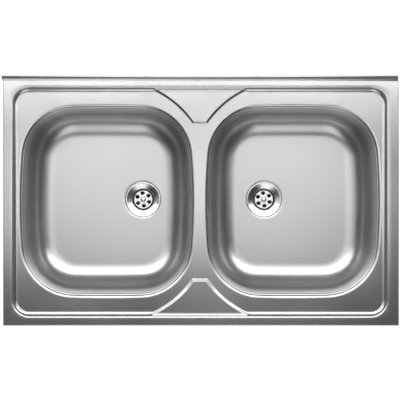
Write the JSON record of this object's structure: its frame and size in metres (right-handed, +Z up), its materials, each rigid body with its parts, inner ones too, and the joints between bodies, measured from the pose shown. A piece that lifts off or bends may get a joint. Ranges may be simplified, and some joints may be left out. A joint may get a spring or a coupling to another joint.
{
  "type": "double bowl kitchen sink",
  "caption": "Lay-on stainless steel double bowl kitchen sink with sunk deck, raised tap pads, rear upstand, strainer wastes, pipework, bottle trap and cabinet brackets.",
  "frame": {"origin": "middle of the sheet in plan, in the plane of the cabinet's top edge, where the return lips rest", "axes": "+X to the user's right along the front edge, +Y to the wall, +Z up"},
  "size_m": [0.803, 0.5062, 0.4575],
  "materials": {
    "stainless": "satin stainless steel sheet, fine grain",
    "strainer_steel": "polished stainless steel",
    "zinc": "zinc-plated steel",
    "rubber": "black rubber",
    "bitumen": "dark sound-deadening bitumen sheet",
    "white_plastic": "moulded white polypropylene"
  },
  "bodies": {
    "sink": {"sink_deck": "stainless", "left_bowl": "stainless", "right_bowl": "stainless", "left_sound_pad": "bitumen", "right_sound_pad": "bitumen", "left_strainer": "strainer_steel", "left_upper_seal": "rubber", "left_lower_seal": "rubber", "left_waste_body": "white_plastic", "left_waste_washer": "rubber", "left_waste_arm": "white_plastic", "left_arm_washer": "rubber", "right_strainer": "strainer_steel", "right_upper_seal": "rubber", "right_lower_seal": "rubber", "right_waste_body": "white_plastic", "right_waste_washer": "rubber", "right_waste_arm": "white_plastic", "right_arm_washer": "rubber", "trap_tee": "white_plastic", "trap_body": "white_plastic", "trap_inlet_washer": "rubber", "outlet_washer": "rubber", "outlet_pipe": "white_plastic"},
    "left_strainer_screw": {"left_strainer_screw": "strainer_steel"},
    "left_waste_nut": {"left_waste_nut": "white_plastic"},
    "right_strainer_screw": {"right_strainer_screw": "strainer_steel"},
    "right_waste_nut": {"right_waste_nut": "white_plastic"},
    "left_arm_nut": {"left_arm_nut": "white_plastic"},
    "right_arm_nut": {"right_arm_nut": "white_plastic"},
    "trap_inlet_nut": {"trap_inlet_nut": "white_plastic"},
    "outlet_nut": {"outlet_nut": "white_plastic"},
    "cup_thread": {"cup_seal": "rubber"},
    "trap_cup": {"trap_cup": "white_plastic"},
    "bracket_front_left": {"bracket_front_left": "zinc"},
    "bracket_screw_front_left": {"bracket_screw_front_left": "zinc"},
    "bracket_rear_left": {"bracket_rear_left": "zinc"},
    "bracket_screw_rear_left": {"bracket_screw_rear_left": "zinc"},
    "bracket_front_right": {"bracket_front_right": "zinc"},
    "bracket_screw_front_right": {"bracket_screw_front_right": "zinc"},
    "bracket_rear_right": {"bracket_rear_right": "zinc"},
    "bracket_screw_rear_right": {"bracket_screw_rear_right": "zinc"}
  },
  "joints": [
    {"name": "left_screw_turn", "type": "hinge", "parent": "sink", "child": "left_strainer_screw", "pos_m": [-0.1212, 0.005, -0.1427], "axis": [0, 0, 1], "continuous": true},
    {"name": "left_waste_nut_turn", "type": "hinge", "parent": "sink", "child": "left_waste_nut", "pos_m": [-0.1212, 0.005, -0.1924], "axis": [0, 0, 1], "continuous": true},
    {"name": "right_screw_turn", "type": "hinge", "parent": "sink", "child": "right_strainer_screw", "pos_m": [0.132, 0.005, -0.1427], "axis": [0, 0, 1], "continuous": true},
    {"name": "right_waste_nut_turn", "type": "hinge", "parent": "sink", "child": "right_waste_nut", "pos_m": [0.132, 0.005, -0.1924], "axis": [0, 0, 1], "continuous": true},
    {"name": "left_arm_nut_turn", "type": "hinge", "parent": "sink", "child": "left_arm_nut", "pos_m": [-0.0285, 0.005, -0.242], "axis": [1, 0, 0], "continuous": true},
    {"name": "right_arm_nut_turn", "type": "hinge", "parent": "sink", "child": "right_arm_nut", "pos_m": [0.0393, 0.005, -0.242], "axis": [1, 0, 0], "continuous": true},
    {"name": "trap_inlet_nut_turn", "type": "hinge", "parent": "sink", "child": "trap_inlet_nut", "pos_m": [0.0054, 0.005, -0.2854], "axis": [0, 0, 1], "continuous": true},
    {"name": "outlet_nut_turn", "type": "hinge", "parent": "sink", "child": "outlet_nut", "pos_m": [0.0054, 0.052, -0.3281], "axis": [0, 1, 0], "continuous": true},
    {"name": "cup_lower", "type": "slide", "parent": "sink", "child": "cup_thread", "axis": [0, 0, -1], "range_m": [0, 0.0135]},
    {"name": "cup_unscrew", "type": "hinge", "parent": "cup_thread", "child": "trap_cup", "pos_m": [0.0054, 0.005, -0.38], "axis": [0, 0, -1], "range_deg": [0, 1170]},
    {"name": "bracket_front_left_slide", "type": "slide", "parent": "sink", "child": "bracket_front_left", "axis": [0, 1, 0], "range_m": [-0.03, 0.03]},
    {"name": "bracket_front_left_screw_turn", "type": "hinge", "parent": "bracket_front_left", "child": "bracket_screw_front_left", "pos_m": [-0.3929, -0.15, -0.016], "axis": [1, 0, 0], "continuous": true},
    {"name": "bracket_rear_left_slide", "type": "slide", "parent": "sink", "child": "bracket_rear_left", "axis": [0, 1, 0], "range_m": [-0.03, 0.03]},
    {"name": "bracket_rear_left_screw_turn", "type": "hinge", "parent": "bracket_rear_left", "child": "bracket_screw_rear_left", "pos_m": [-0.3929, 0.15, -0.016], "axis": [1, 0, 0], "continuous": true},
    {"name": "bracket_front_right_slide", "type": "slide", "parent": "sink", "child": "bracket_front_right", "axis": [0, 1, 0], "range_m": [-0.03, 0.03]},
    {"name": "bracket_front_right_screw_turn", "type": "hinge", "parent": "bracket_front_right", "child": "bracket_screw_front_right", "pos_m": [0.3929, -0.15, -0.016], "axis": [1, 0, 0], "continuous": true},
    {"name": "bracket_rear_right_slide", "type": "slide", "parent": "sink", "child": "bracket_rear_right", "axis": [0, 1, 0], "range_m": [-0.03, 0.03]},
    {"name": "bracket_rear_right_screw_turn", "type": "hinge", "parent": "bracket_rear_right", "child": "bracket_screw_rear_right", "pos_m": [0.3929, 0.15, -0.016], "axis": [1, 0, 0], "continuous": true}
  ],
  "couplings": [
    {"joint": "cup_lower", "follows": "cup_unscrew", "m_per_rad": 0.00063662}
  ]
}
